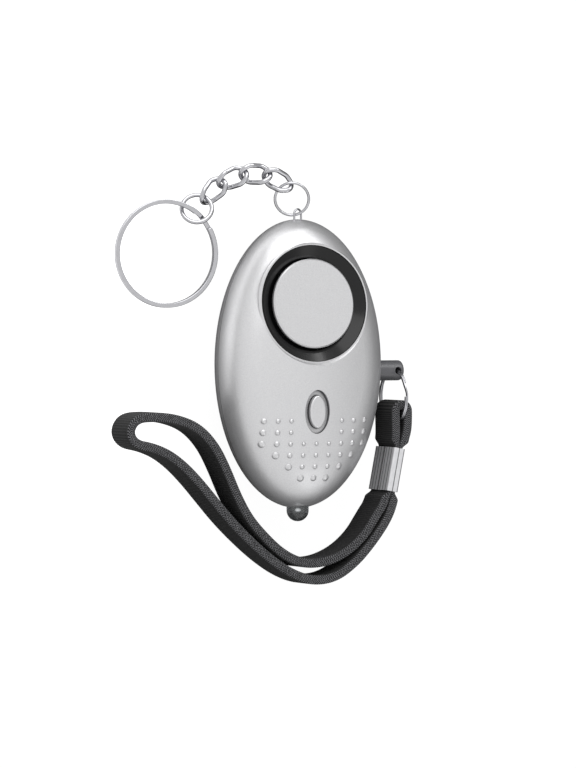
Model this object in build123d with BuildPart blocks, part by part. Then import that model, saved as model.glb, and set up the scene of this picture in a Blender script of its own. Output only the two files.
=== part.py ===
"""Personal safety alarm: an oval case with a siren, a test button, a pull pin on a wrist strap and a key chain.

The case lies on its flat back on z = 0, with the origin at the middle of that flat. +Z is the way its front faces,
+Y points to the key chain's end and +X to the pull pin. All lengths are millimetres and all angles degrees.
"""

from build123d import *
from math import acos, asin, cos, hypot, radians, sin, sqrt, tan
import os

os.makedirs("parts", exist_ok=True)

# Case
case_width = 40.0
case_length = 65.0
front_depth = 10.2
rear_depth = 8.7
parting_height = 8.4
wall = 1.5
front_crown_rise = 1.0
rear_crown_rise = 1.1
slope_step = 0.015
overrun = 5.0
fit_gap = 0.1

# Horn and siren
horn_diameter = 26.3
horn_tilt = 6.0
horn_sink = 2.0
horn_rim_width = 0.3
horn_rim_chamfer = 0.3
horn_rim_depth = 3.0
horn_bevel_height = 1.0
horn_lip_drop = 0.3
horn_throat_drop = 1.7
horn_floor_thickness = 1.2
horn_skirt_wall = 1.4
horn_throat_diameter = 16.8
horn_depth = 6.0
siren_cap_diameter = 20.1
siren_cap_thickness = 1.0
siren_cap_chamfer = 0.3
siren_cap_peg_diameter = 1.2
siren_cap_peg_count = 4
siren_cap_peg_turn = 45.0
piezo_plate_diameter = 24.8
piezo_plate_thickness = 0.3
piezo_ceramic_diameter = 15.0
piezo_ceramic_thickness = 0.25
sound_chamber_depth = 2.0
sound_chamber_floor = 0.8
sound_chamber_wire_hole = 1.4

# Test button
button_width = 4.04
button_length = 7.3
button_proud = 0.4
button_edge_round = 0.35
button_recess_width = 6.2
button_recess_length = 9.84
button_recess_depth = 0.8
button_clearance = 0.12
button_travel = 0.5
button_flange_width = 5.6
button_flange_length = 8.8
button_flange_thickness = 0.8
button_flange_drop = 2.3
button_stem_diameter = 3.0

# Raised dots round the button
dot_column_pitch = 3.17
dot_row_pitch = 2.58
dot_first_drop = 2.0
dot_height = 0.3
dot_small_diameter = 0.85
dot_large_diameter = 1.65

# Circuit board and what stands on it
board_height = 4.6
board_thickness = 1.0
board_margin = 0.9
post_diameter = 2.4
switch_width = 6.0
switch_height = 3.5
switch_bore_depth = 1.2
switch_bore_clearance = 0.1
plunger_diameter = 3.4
coil_diameter = 4.6
coil_height = 2.8
chip_width = 5.0
chip_length = 4.0
chip_height = 1.4
wire_diameter = 0.8
wire_lead = 1.6
siren_wire_spread = 3.0
led_wire_spread = 1.27

# Cells
cell_diameter_share = 0.17846
cell_thickness_share = 0.135
cell_count = 3
cell_axis_height = 8.9
cell_clearance = 0.1
cradle_thickness = 1.2
cradle_height = 6.0
cradle_length_share = 0.75
cradle_place_share = 2 / 3
contact_plate_thickness = 0.4
contact_plate_length = 6.6
contact_plate_low = 3.9
contact_plate_high = 13.0
contact_dome_diameter = 3.0
contact_dome_height = 0.8
contact_dome_taper = 20.0
contact_tab_width = 1.0

# Lamp
lamp_diameter = 5.0
lamp_proud = 3.0
lamp_length = 8.0
lamp_flange_width = 0.45
lamp_flange_thickness = 1.0
lamp_clearance = 0.05

# Screws that hold the two shells together
screw_diameter = 1.5
screw_head_diameter = 2.6
screw_head_height = 1.0
screw_slot_length_share = 0.6
screw_slot_width_share = 0.4
screw_slot_depth_share = 0.5
screw_length = 5.2
screw_seat_height = 6.8
screw_pocket_clearance = 0.15
boss_wall = 0.6
boss_top = 11.2

# Pull pin, its socket and its ring
pin_diameter = 4.6
pin_proud = 6.2
pin_tip_diameter = 3.0
pin_plug_length = 4.0
pin_shoulder_share = 0.6
pin_running_gap = 0.06
pin_edge_round = 0.7
pin_tip_round = 0.9
pin_ring_hole_diameter = 1.6
pin_ring_hole_inset = 1.7
socket_length = 3.6
socket_margin = 1.0
leaf_thickness = 0.3
leaf_length = 3.4
leaf_gap = 0.1
leaf_height = 4.9
pin_ring_wire = 0.7
pin_ring_outer = 13.0
pin_ring_play = 0.2

# Wrist strap
strap_width = 8.8
strap_thickness = 2.1
strap_core_thickness = 1.7
strap_low = 0.1
strap_gap = 0.1
fold_gap = 0.16
fold_lead = 2.0
wrist_near_lead = 2.6
wrist_far_lead = 2.7
strap_sink_shares = (1.0, 0.2)
strap_sink_radius_share = 1.5
crimp_length = 9.9
crimp_width = 9.4
crimp_thickness = 2.8
crimp_sheet = 0.5
crimp_seam = 0.4
crimp_edge_round = 0.4
crimp_azimuth = -101.1
arc_share = 0.45

# Eyelet, chain and key ring
eyelet_wire = 0.45
eyelet_half_width = 1.08
eyelet_turn = 18.0
eyelet_rise = 1.2
eyelet_depth = 1.3
top_ring_wire = 0.6
top_ring_outer = 8.2
top_ring_rise = 1.17
top_ring_pass_turn = 20.0
top_ring_hang_turn = 5.0
link_wire = 1.1
link_length = 7.8
link_width = 4.9
link_twist_height = 1.1
link_gap = 0.2
link_count = 4
link_corner_turn = 22.5
jump_ring_wire = 1.0
jump_ring_outer = 7.8
key_ring_outer = 24.3
key_ring_band = 0.8
key_ring_height = 1.4
key_ring_groove = 0.16
key_ring_slope = 6.0
key_ring_azimuth = 54.2
key_ring_pass_shares = (0.14, 0.15, -0.04)

# Places along the case, as shares of its half length or half width
horn_place_share = 0.4206
button_place_share = -0.3262
pin_place_share = -0.0532
cell_place_share = -0.585
upper_boss_place_shares = (0.545, 0.748)
lower_boss_place_shares = (0.66, -0.569)
post_place_shares = ((0.45, -0.277), (0.40, 0.508))
coil_place_shares = (-0.45, 0.246)
chip_place_shares = (0.15, 0.45)
board_end_shares = (-0.37846, 0.64615)

# The strap's route: the crimp's top and the fold round the pin's ring, from the ring's hole in strap widths, and the
# wrist loop from the middle of the case, in half widths and half lengths of the case
crimp_top_shares = (-0.0909, -1.9967)
fold_shares = (
    (-0.1750, -1.7467), (-0.1705, -1.5081), (-0.1795, -1.2353), (-0.1761, -0.8831), (0.1761, -0.8831),
    (0.1818, -1.2353), (0.1648, -1.5422),
)
wrist_shares = (
    (0.9050, -1.0646), (0.7800, -1.1969), (0.5800, -1.3138), (0.3300, -1.3846), (0.0600, -1.3877),
    (-0.1900, -1.3169), (-0.4100, -1.2000), (-0.6150, -1.0646), (-0.7650, -0.9015), (-0.8900, -0.7262),
    (-1.0350, -0.5600), (-1.2400, -0.4338), (-1.5000, -0.3723), (-1.7700, -0.3538), (-2.0100, -0.3631),
    (-2.1000, -0.4585), (-2.0150, -0.5415), (-1.8150, -0.5631), (-1.6100, -0.6123), (-1.4200, -0.6954),
    (-1.2350, -0.8062), (-1.0450, -0.9385), (-0.8400, -1.0800), (-0.6100, -1.2154), (-0.3650, -1.3415),
    (-0.1000, -1.4492), (0.1800, -1.5108), (0.4450, -1.4923), (0.6800, -1.3846), (0.8750, -1.2400),
    (1.0350, -1.0954),
)

half_width = case_width / 2
half_length = case_length / 2
front_side_radius = front_depth - front_crown_rise
rear_side_radius = rear_depth - rear_crown_rise
cell_diameter = case_length * cell_diameter_share
cell_thickness = case_width * cell_thickness_share
board_top = board_height + board_thickness
horn_y = half_length * horn_place_share
button_y = half_length * button_place_share
pin_y = half_length * pin_place_share
cell_y = half_length * cell_place_share
board_lower_y, board_upper_y = (half_length * share for share in board_end_shares)


def arc_radii(route):
    """Radius of the arc at each inner point of a route, set by the shorter run beside it and by the turn."""
    radii = []
    for before, here, after in zip(route, route[1:], route[2:]):
        first, second = here - before, after - here
        shorter = min(first.length, second.length)
        radii.append(arc_share * shorter / tan(radians(first.get_angle(second) / 2)))
    return radii


def crown_radius(width, depth, side):
    """Radius of the crown arc that meets a side arc of radius side smoothly."""
    return ((width - side) ** 2 + depth**2 - side**2) / (2 * (depth - side))


def arc_join(width, depth, side):
    """Distance from the middle at which the crown arc turns into the side arc."""
    crown = crown_radius(width, depth, side)
    return (width - side) * crown / (crown - side)


def front_level(x, y):
    """Height of the case's front above the floor at (x, y)."""
    reach = hypot(x, y * case_width / case_length)
    if reach > arc_join(half_width, front_depth, front_side_radius):
        return parting_height + sqrt(front_side_radius**2 - (reach - half_width + front_side_radius) ** 2)
    crown = crown_radius(half_width, front_depth, front_side_radius)
    return parting_height + front_depth - crown + sqrt(crown**2 - reach**2)


def front_normal(x, y):
    """Outward normal of the case's front at (x, y), from its slope along each axis."""
    slope_x = (front_level(x + slope_step, y) - front_level(x - slope_step, y)) / (2 * slope_step)
    slope_y = (front_level(x, y + slope_step) - front_level(x, y - slope_step)) / (2 * slope_step)
    return Vector(-slope_x, -slope_y, 1).normalized()


def oval_form(skin):
    """Solid oval form of the case less a skin: crown and side arcs turned about Z, then stretched along Y."""
    width, length = half_width - skin, half_length - skin
    with BuildPart() as form:
        with BuildSketch(Plane.XZ):
            with BuildLine():
                poles = []
                for up, full_depth, full_side in ((1, front_depth, front_side_radius), (-1, rear_depth, rear_side_radius)):
                    depth, side = full_depth - skin, full_side - skin
                    crown, join = crown_radius(width, depth, side), arc_join(width, depth, side)
                    levels = [depth - crown + sqrt(crown**2 - reach**2) for reach in (join / 2, join)]
                    middle = acos((join - width + side) / side) / 2
                    pole = (0, parting_height + up * depth)
                    join_point = (join, parting_height + up * levels[1])
                    ThreePointArc(pole, (join / 2, parting_height + up * levels[0]), join_point)
                    ThreePointArc(
                        join_point,
                        (width - side + side * cos(middle), parting_height + up * side * sin(middle)),
                        (width, parting_height),
                    )
                    poles.append(pole)
                Line(*poles)
            make_face()
        revolve(axis=Axis.Z)
    return form.part.scale((1, length / width, 1))


def round_ring(centre, normal, outer, wire):
    """Closed ring of round wire about an axis."""
    mean = (outer - wire) / 2
    around = Plane(origin=centre, z_dir=normal)
    with BuildPart() as form:
        with BuildSketch(Plane(origin=centre + around.x_dir * mean, x_dir=around.x_dir, z_dir=around.y_dir)):
            Circle(wire / 2)
        revolve(axis=Axis(centre, normal))
    return form.part


def wire_along(route, diameter):
    """Round wire along straight runs joined by tangent arcs."""
    with BuildPart() as form:
        with BuildLine() as path:
            FilletPolyline(*route, radius=arc_radii(route))
        with BuildSketch(Plane(origin=path.line @ 0, z_dir=path.line % 0)):
            Circle(diameter / 2)
        sweep()
    return form.part


def heading(azimuth, slope):
    """Unit vector at an azimuth from +X and a slope above the floor."""
    return Vector(1, 0, 0).rotate(Axis.Y, -slope).rotate(Axis.Z, azimuth)


# Solid forms of the two halves, outside and inside
outer_form = oval_form(0)
inner_form = oval_form(wall)

# The horn stands on a plane of its own, tilted towards the key chain's end
horn_radius = horn_diameter / 2
horn_plane = Plane(
    origin=(0, horn_y, parting_height + front_depth - horn_sink),
    x_dir=(1, 0, 0),
    z_dir=(0, sin(radians(horn_tilt)), cos(radians(horn_tilt))),
)
horn_up = horn_plane.z_dir
horn_section = Plane(origin=horn_plane.origin, x_dir=(1, 0, 0), z_dir=horn_up.cross(Vector(1, 0, 0)) * -1)
horn_axis = Axis(horn_plane.origin, horn_up)
rim_outer = horn_radius + horn_rim_width

# Heights of the front at the button
button_surface = front_level(0, button_y)
button_top = button_surface + button_proud
button_flange_top = button_surface - button_flange_drop
plunger_top = board_top + switch_height + button_travel * 2

# Screw bosses, as (x, y) places
boss_radius = screw_head_diameter / 2 + screw_pocket_clearance + boss_wall
boss_places = [
    (side * half_width * across, half_length * along)
    for across, along in (upper_boss_place_shares, lower_boss_place_shares)
    for side in (-1, 1)
]

# Pull pin places
pin_end = half_width + pin_proud
pin_shoulder = half_width * pin_shoulder_share
pin_tip = pin_shoulder - pin_plug_length
pin_axis_plane = Plane(origin=(0, pin_y, parting_height), x_dir=(0, 1, 0), z_dir=(1, 0, 0))
pin_ring_x = pin_end - pin_ring_hole_inset
pin_ring_mean = (pin_ring_outer - pin_ring_wire) / 2
pin_ring_centre = Vector(pin_ring_x, pin_y + pin_ring_play - pin_ring_mean, parting_height)

# Lamp places
lamp_radius = lamp_diameter / 2
lamp_tip_y = -half_length - lamp_proud
lamp_base_y = lamp_tip_y + lamp_length
lamp_plane = Plane(origin=(0, lamp_base_y, parting_height), x_dir=(1, 0, 0), z_dir=(0, -1, 0))

# Bosses, posts and battery cradle that grow from the shells, cut to the outside form
with BuildPart() as screw_bosses:
    with BuildSketch(Plane.XY.offset(-overrun)):
        with Locations(*boss_places):
            Circle(boss_radius)
    extrude(amount=boss_top + overrun)
    add(outer_form, mode=Mode.INTERSECT)

post_places = [
    (side * half_width * across, half_length * along) for across, along in post_place_shares for side in (-1, 1)
]
cradle_x = cell_thickness * (cell_count - 1) / 2 * cradle_place_share
with BuildPart() as rear_supports:
    with BuildSketch(Plane.XY.offset(wall / 2)):
        with Locations(*post_places):
            Circle(post_diameter / 2)
    extrude(amount=board_height - wall / 2)
    with BuildSketch(Plane.XY.offset(wall / 2)):
        with Locations((-cradle_x, cell_y), (cradle_x, cell_y)):
            Rectangle(cradle_thickness, cell_diameter * cradle_length_share)
    extrude(amount=cradle_height - wall / 2)
    with BuildSketch(Plane(origin=(0, cell_y, cell_axis_height), z_dir=(1, 0, 0))):
        Circle(cell_diameter / 2 + cell_clearance)
    extrude(amount=half_width, both=True, mode=Mode.SUBTRACT)
    add(outer_form, mode=Mode.INTERSECT)

# Openings shared by both shells: the pin's bore, the lamp's hole and the eyelet's seat
with BuildPart() as shared_openings:
    with BuildSketch(pin_axis_plane.offset(half_width / 2)):
        Circle(pin_diameter / 2 + pin_running_gap)
    extrude(amount=half_width)
    with BuildSketch(lamp_plane):
        Circle(lamp_radius + lamp_clearance)
    extrude(amount=lamp_length)

# Eyelet: a wire staple whose plane is turned a little about Y
eyelet_across = Vector(cos(radians(eyelet_turn)), 0, -sin(radians(eyelet_turn)))
eyelet_foot = Vector(0, half_length - eyelet_depth, parting_height)
eyelet_shoulder = Vector(0, half_length + eyelet_rise, parting_height)
eyelet_crown = eyelet_shoulder + Vector(0, eyelet_half_width, 0)
with BuildPart() as eyelet:
    with BuildLine() as eyelet_path:
        Line(eyelet_foot - eyelet_across * eyelet_half_width, eyelet_shoulder - eyelet_across * eyelet_half_width)
        ThreePointArc(
            eyelet_shoulder - eyelet_across * eyelet_half_width,
            eyelet_crown,
            eyelet_shoulder + eyelet_across * eyelet_half_width,
        )
        Line(eyelet_shoulder + eyelet_across * eyelet_half_width, eyelet_foot + eyelet_across * eyelet_half_width)
    with BuildSketch(Plane(origin=eyelet_path.line @ 0, z_dir=eyelet_path.line % 0)):
        Circle(eyelet_wire / 2)
    sweep()
eyelet.part.label = "eyelet"
export_step(eyelet.part, "parts/eyelet.step")

# Raised dots, in rows below the button: the columns of each row, counted from the middle
dot_rows = [(2, 3, 4), (2, 3, 4), (0, 1, 2, 3, 4), (0, 1, 2, 3), (0, 1, 2), (0, 1)]
dot_grow_shares = (0.6, 0.8, 1.0, 1.0, 1.0, 1.0)
dot_least_shares = (0.2, 0.2, 0.05, 0.2, 0.35, 0.8)
dots = []
for row, columns in enumerate(dot_rows):
    dot_y = button_y - dot_first_drop - row * dot_row_pitch
    for column in columns:
        growth = max((column / columns[-1]) ** 2 * dot_grow_shares[row], dot_least_shares[row])
        dot_radius = (dot_small_diameter + (dot_large_diameter - dot_small_diameter) * growth) / 2
        for dot_x in {column * dot_column_pitch, -column * dot_column_pitch}:
            seat = Vector(dot_x, dot_y, front_level(dot_x, dot_y))
            dots.append((seat, front_normal(dot_x, dot_y), dot_radius))


def raised_dot(seat, normal, radius):
    """Low round bump on a seat, with a root inside the wall."""
    along = Plane(origin=seat, z_dir=normal)
    ball = (radius**2 + dot_height**2) / (2 * dot_height)
    half_turn = asin(radius / ball) / 2
    shoulder = (ball * sin(half_turn), dot_height - ball + ball * cos(half_turn))
    with BuildPart() as form:
        with BuildSketch(Plane(origin=seat, x_dir=along.x_dir, z_dir=along.y_dir * -1)):
            with BuildLine():
                Polyline((0, dot_height), (0, -dot_height), (radius, -dot_height), (radius, 0))
                ThreePointArc((radius, 0), shoulder, (0, dot_height))
            make_face()
        revolve(axis=Axis(seat, normal))
    return form.part


with BuildPart() as front_shell:
    add(outer_form)
    add([raised_dot(*dot) for dot in dots])
    with BuildSketch(horn_section):
        with BuildLine():
            Polyline(
                (0, 0),
                (rim_outer, 0),
                (rim_outer + horn_rim_chamfer, -horn_rim_chamfer),
                (rim_outer + horn_rim_chamfer, -horn_rim_depth),
                (0, -horn_rim_depth),
                close=True,
            )
        make_face()
    revolve(axis=horn_axis)
    with BuildSketch(horn_section):
        with BuildLine():
            Polyline(
                (0, 0),
                (rim_outer, 0),
                (rim_outer + horn_bevel_height, horn_bevel_height),
                (0, horn_bevel_height),
                close=True,
            )
        make_face()
    revolve(axis=horn_axis, mode=Mode.SUBTRACT)
    add(inner_form, mode=Mode.SUBTRACT)
    add(screw_bosses.part)
    with BuildSketch(horn_plane):
        Circle(horn_radius)
    extrude(amount=horn_depth, both=True, mode=Mode.SUBTRACT)
    with BuildSketch(Plane.XY.offset(button_surface - button_recess_depth)):
        with Locations((0, button_y)):
            Ellipse(button_recess_width / 2, button_recess_length / 2)
    extrude(amount=overrun, mode=Mode.SUBTRACT)
    with BuildSketch(Plane.XY.offset(parting_height + front_depth / 2)):
        with Locations((0, button_y)):
            Ellipse(button_width / 2 + button_clearance, button_length / 2 + button_clearance)
    extrude(amount=front_depth, mode=Mode.SUBTRACT)
    with BuildSketch(Plane.XY.offset(screw_seat_height)):
        with Locations(*boss_places):
            Circle(screw_diameter / 2)
    extrude(amount=screw_length - screw_head_height, mode=Mode.SUBTRACT)
    add(shared_openings.part, mode=Mode.SUBTRACT)
    add(eyelet.part, mode=Mode.SUBTRACT)
    split(bisect_by=Plane.XY.offset(parting_height), keep=Keep.TOP)
front_shell.part.label = "front_shell"
export_step(front_shell.part, "parts/front_shell.step")

with BuildPart() as rear_shell:
    add(outer_form)
    add(inner_form, mode=Mode.SUBTRACT)
    add(screw_bosses.part)
    add(rear_supports.part)
    with BuildSketch(Plane.XY.offset(-overrun)):
        with Locations(*boss_places):
            Circle(screw_head_diameter / 2 + screw_pocket_clearance)
    extrude(amount=screw_seat_height + overrun, mode=Mode.SUBTRACT)
    with BuildSketch(Plane.XY.offset(screw_seat_height)):
        with Locations(*boss_places):
            Circle(screw_diameter / 2)
    extrude(amount=overrun, mode=Mode.SUBTRACT)
    add(shared_openings.part, mode=Mode.SUBTRACT)
    add(eyelet.part, mode=Mode.SUBTRACT)
    split(bisect_by=Plane.XY.offset(parting_height), keep=Keep.BOTTOM)
    split(bisect_by=Plane.XY, keep=Keep.TOP)
rear_shell.part.label = "rear_shell"
export_step(rear_shell.part, "parts/rear_shell.step")

screw_slot_length = screw_head_diameter * screw_slot_length_share
screw_slot_width = screw_head_height * screw_slot_width_share
with BuildPart() as case_screws:
    with BuildSketch(Plane.XY.offset(screw_seat_height)):
        with Locations(*boss_places):
            Circle(screw_head_diameter / 2)
    extrude(amount=-screw_head_height)
    with BuildSketch(Plane.XY.offset(screw_seat_height)):
        with Locations(*boss_places):
            Circle(screw_diameter / 2)
    extrude(amount=screw_length - screw_head_height)
    with BuildSketch(Plane.XY.offset(screw_seat_height - screw_head_height)):
        with Locations(*boss_places):
            Rectangle(screw_slot_length, screw_slot_width)
            Rectangle(screw_slot_width, screw_slot_length)
    extrude(amount=screw_head_height * screw_slot_depth_share, mode=Mode.SUBTRACT)
case_screws.part.label = "case_screws"
export_step(case_screws.part, "parts/case_screws.step")

# Horn ring: a glossy dish round the cap, with a skirt that holds the siren's plate from the front
skirt_radius = horn_radius - fit_gap
dish_inner = siren_cap_diameter / 2 - fit_gap
with BuildPart() as horn_ring:
    with BuildSketch(horn_section):
        with BuildLine():
            Polyline(
                (skirt_radius, -horn_lip_drop),
                (dish_inner, -horn_throat_drop),
                (horn_throat_diameter / 2, -horn_throat_drop),
                (horn_throat_diameter / 2, -horn_throat_drop - horn_floor_thickness),
                (skirt_radius - horn_skirt_wall, -horn_throat_drop - horn_floor_thickness),
                (skirt_radius - horn_skirt_wall, -horn_depth),
                (skirt_radius, -horn_depth),
                close=True,
            )
        make_face()
    revolve(axis=horn_axis)
horn_ring.part.label = "horn_ring"
export_step(horn_ring.part, "parts/horn_ring.step")

peg_reach = (dish_inner + horn_throat_diameter / 2) / 2
with BuildPart() as siren_cap:
    with BuildSketch(horn_plane):
        Circle(siren_cap_diameter / 2)
    extrude(amount=-siren_cap_thickness)
    chamfer(siren_cap.edges().filter_by(GeomType.CIRCLE).sort_by(horn_axis)[-1], siren_cap_chamfer)
    with BuildSketch(horn_plane.offset(-siren_cap_thickness)):
        with PolarLocations(peg_reach, siren_cap_peg_count, start_angle=siren_cap_peg_turn):
            Circle(siren_cap_peg_diameter / 2)
    extrude(amount=-(horn_throat_drop - siren_cap_thickness))
siren_cap.part.label = "siren_cap"
export_step(siren_cap.part, "parts/siren_cap.step")

with BuildPart() as piezo_plate:
    with BuildSketch(horn_plane.offset(-horn_depth)):
        Circle(piezo_plate_diameter / 2)
    extrude(amount=-piezo_plate_thickness)
piezo_plate.part.label = "piezo_plate"
export_step(piezo_plate.part, "parts/piezo_plate.step")

with BuildPart() as piezo_ceramic:
    with BuildSketch(horn_plane.offset(-horn_depth - piezo_plate_thickness)):
        Circle(piezo_ceramic_diameter / 2)
    extrude(amount=-piezo_ceramic_thickness)
piezo_ceramic.part.label = "piezo_ceramic"
export_step(piezo_ceramic.part, "parts/piezo_ceramic.step")

chamber_top = horn_depth + piezo_plate_thickness
chamber_bore = skirt_radius - horn_skirt_wall
siren_wire_y = horn_y - piezo_ceramic_diameter / 4
siren_wire_places = [(-siren_wire_spread, siren_wire_y), (siren_wire_spread, siren_wire_y)]
with BuildPart() as sound_chamber:
    with BuildSketch(horn_plane.offset(-chamber_top)):
        Circle(skirt_radius)
    extrude(amount=-sound_chamber_depth)
    with BuildSketch(horn_plane.offset(-chamber_top)):
        Circle(chamber_bore)
    extrude(amount=-(sound_chamber_depth - sound_chamber_floor), mode=Mode.SUBTRACT)
    with BuildSketch(Plane.XY.offset(board_top)):
        with Locations(*siren_wire_places):
            Circle(sound_chamber_wire_hole / 2)
    extrude(amount=front_depth, mode=Mode.SUBTRACT)
sound_chamber.part.label = "sound_chamber"
export_step(sound_chamber.part, "parts/sound_chamber.step")

with BuildPart() as siren_wires:
    with BuildSketch(Plane.XY.offset(board_top)):
        with Locations(*siren_wire_places):
            Circle(wire_diameter / 2)
    extrude(amount=front_depth)
    split(
        bisect_by=horn_plane.offset(-horn_depth - piezo_plate_thickness - piezo_ceramic_thickness),
        keep=Keep.BOTTOM,
    )
siren_wires.part.label = "siren_wires"
export_step(siren_wires.part, "parts/siren_wires.step")

# Button: an oval pill with a flange inside the shell and a stem down to the switch
with BuildPart() as button_cap:
    with BuildSketch(Plane.XY.offset(button_flange_top)):
        with Locations((0, button_y)):
            Ellipse(button_width / 2, button_length / 2)
    extrude(amount=button_top - button_flange_top)
    fillet(button_cap.edges().group_by(Axis.Z)[-1], button_edge_round)
    with BuildSketch(Plane.XY.offset(button_flange_top)):
        with Locations((0, button_y)):
            Ellipse(button_flange_width / 2, button_flange_length / 2)
    extrude(amount=-button_flange_thickness)
    with BuildSketch(Plane.XY.offset(plunger_top)):
        with Locations((0, button_y)):
            Circle(button_stem_diameter / 2)
    extrude(amount=button_flange_top - plunger_top)
button_cap.part.label = "button_cap"
export_step(button_cap.part, "parts/button_cap.step")

with BuildPart() as switch_body:
    with BuildSketch(Plane.XY.offset(board_top)):
        with Locations((0, button_y + switch_width / 4)):
            Rectangle(switch_width, switch_width)
    extrude(amount=switch_height)
    with BuildSketch(Plane.XY.offset(board_top + switch_height)):
        with Locations((0, button_y)):
            Circle(plunger_diameter / 2 + switch_bore_clearance)
    extrude(amount=-switch_bore_depth, mode=Mode.SUBTRACT)
switch_body.part.label = "switch_body"
export_step(switch_body.part, "parts/switch_body.step")

with BuildPart() as switch_plunger:
    with BuildSketch(Plane.XY.offset(plunger_top)):
        with Locations((0, button_y)):
            Circle(plunger_diameter / 2)
    extrude(amount=-(plunger_top - board_top - switch_height + switch_bore_depth / 2 - fit_gap))
switch_plunger.part.label = "switch_plunger"
export_step(switch_plunger.part, "parts/switch_plunger.step")

# Circuit board: an oval inside the rear shell, cut straight at both ends
inner_side = rear_side_radius - wall
board_reach = half_width - wall - inner_side + sqrt(inner_side**2 - (parting_height - board_height) ** 2)
board_half_width = board_reach - board_margin
board_half_length = board_reach * (half_length - wall) / (half_width - wall) - board_margin
with BuildPart() as circuit_board:
    with BuildSketch(Plane.XY.offset(board_height)):
        Ellipse(board_half_width, board_half_length)
        with Locations((0, (board_lower_y + board_upper_y) / 2)):
            Rectangle(case_width, board_upper_y - board_lower_y, mode=Mode.INTERSECT)
    extrude(amount=board_thickness)
circuit_board.part.label = "circuit_board"
export_step(circuit_board.part, "parts/circuit_board.step")

with BuildPart() as driver_coil:
    with BuildSketch(Plane.XY.offset(board_top)):
        with Locations((half_width * coil_place_shares[0], half_length * coil_place_shares[1])):
            Circle(coil_diameter / 2)
    extrude(amount=coil_height)
driver_coil.part.label = "driver_coil"
export_step(driver_coil.part, "parts/driver_coil.step")

with BuildPart() as control_chip:
    with BuildSketch(Plane.XY.offset(board_top)):
        with Locations((half_width * chip_place_shares[0], half_length * chip_place_shares[1])):
            Rectangle(chip_width, chip_length)
    extrude(amount=chip_height)
control_chip.part.label = "control_chip"
export_step(control_chip.part, "parts/control_chip.step")

# Cells: a row of button cells across the case, between two contacts
stack_half = cell_thickness * cell_count / 2
for number in range(cell_count):
    start = -stack_half + number * cell_thickness
    with BuildPart() as button_cell:
        with BuildSketch(Plane(origin=(start, cell_y, cell_axis_height), z_dir=(1, 0, 0))):
            Circle(cell_diameter / 2)
        extrude(amount=cell_thickness)
        chamfer(button_cell.edges().filter_by(GeomType.CIRCLE), cell_clearance)
    button_cell.part.label = f"button_cell_{number + 1}"
    export_step(button_cell.part, f"parts/button_cell_{number + 1}.step")

plate_height = contact_plate_high - contact_plate_low
tab_length = board_lower_y + contact_tab_width - cell_y
for name, side, gap in (("positive_contact", 1, 0), ("negative_contact", -1, contact_dome_height)):
    inner_face = side * (stack_half + gap)
    plate_plane = Plane(origin=(inner_face, cell_y, 0), x_dir=(0, 1, 0), z_dir=(side, 0, 0))
    low_side = contact_plate_low * side
    with BuildPart() as contact:
        with BuildSketch(plate_plane):
            with Locations((0, side * (contact_plate_low + plate_height / 2))):
                Rectangle(contact_plate_length, plate_height)
            with Locations((tab_length / 2, side * (board_top + contact_tab_width / 2))):
                Rectangle(tab_length, contact_tab_width)
        extrude(amount=contact_plate_thickness)
        if gap:
            with BuildSketch(Plane(origin=(inner_face, cell_y, cell_axis_height), z_dir=(-side, 0, 0))):
                Circle(contact_dome_diameter / 2)
            extrude(amount=gap, taper=contact_dome_taper)
    contact.part.label = name
    export_step(contact.part, f"parts/{name}.step")

# Lamp and its two wires, led past the cells to the board
with BuildPart() as led_lamp:
    with BuildSketch(lamp_plane):
        Circle(lamp_radius)
    extrude(amount=lamp_length)
    fillet(led_lamp.edges().sort_by(Axis.Y)[0], lamp_radius - lamp_clearance)
    with BuildSketch(lamp_plane):
        Circle(lamp_radius + lamp_flange_width)
    extrude(amount=lamp_flange_thickness)
led_lamp.part.label = "led_lamp"
export_step(led_lamp.part, "parts/led_lamp.step")

wire_lane = stack_half + contact_dome_height + contact_plate_thickness + wire_diameter
wire_radius = wire_diameter / 2
cell_low_y = cell_y - cell_diameter / 2 - wire_diameter
with BuildPart() as led_wires:
    for side in (-1, 1):
        route = [
            Vector(side * led_wire_spread, lamp_base_y, parting_height),
            Vector(side * led_wire_spread, (lamp_base_y + cell_low_y) / 2, parting_height),
            Vector(side * wire_lane, cell_low_y, parting_height - wire_diameter / 2),
            Vector(side * wire_lane, board_lower_y, board_top + wire_lead),
            Vector(side * wire_lane, board_lower_y + wire_lead, board_top + wire_radius),
        ]
        add(wire_along(route, wire_diameter))
led_wires.part.label = "led_wires"
export_step(led_wires.part, "parts/led_wires.step")

# Pull pin: a thick stem with a slimmer plug at its inner end, and a cross hole for its ring
with BuildPart() as pull_pin:
    with BuildSketch(pin_axis_plane.offset(pin_shoulder)):
        Circle(pin_diameter / 2)
    extrude(amount=pin_end - pin_shoulder)
    fillet(pull_pin.edges().sort_by(Axis.X)[-1], pin_edge_round)
    with BuildSketch(pin_axis_plane.offset(pin_tip)):
        Circle(pin_tip_diameter / 2)
    extrude(amount=pin_shoulder - pin_tip)
    fillet(pull_pin.edges().sort_by(Axis.X)[0], pin_tip_round)
    with BuildSketch(Plane.XY.offset(parting_height)):
        with Locations((pin_ring_x, pin_y)):
            Circle(pin_ring_hole_diameter / 2)
    extrude(amount=pin_diameter, both=True, mode=Mode.SUBTRACT)
pull_pin.part.label = "pull_pin"
export_step(pull_pin.part, "parts/pull_pin.step")

pin_bore = pin_diameter + pin_running_gap * 2
with BuildPart() as pin_socket:
    with BuildSketch(Plane.XY.offset(board_top)):
        with Locations((pin_shoulder + socket_length / 2 + fit_gap, pin_y)):
            Rectangle(socket_length, pin_bore + socket_margin * 2)
    extrude(amount=parting_height - board_top + pin_bore / 2 + socket_margin)
    with BuildSketch(pin_axis_plane):
        Circle(pin_bore / 2)
    extrude(amount=half_width, mode=Mode.SUBTRACT)
pin_socket.part.label = "pin_socket"
export_step(pin_socket.part, "parts/pin_socket.step")

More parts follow.
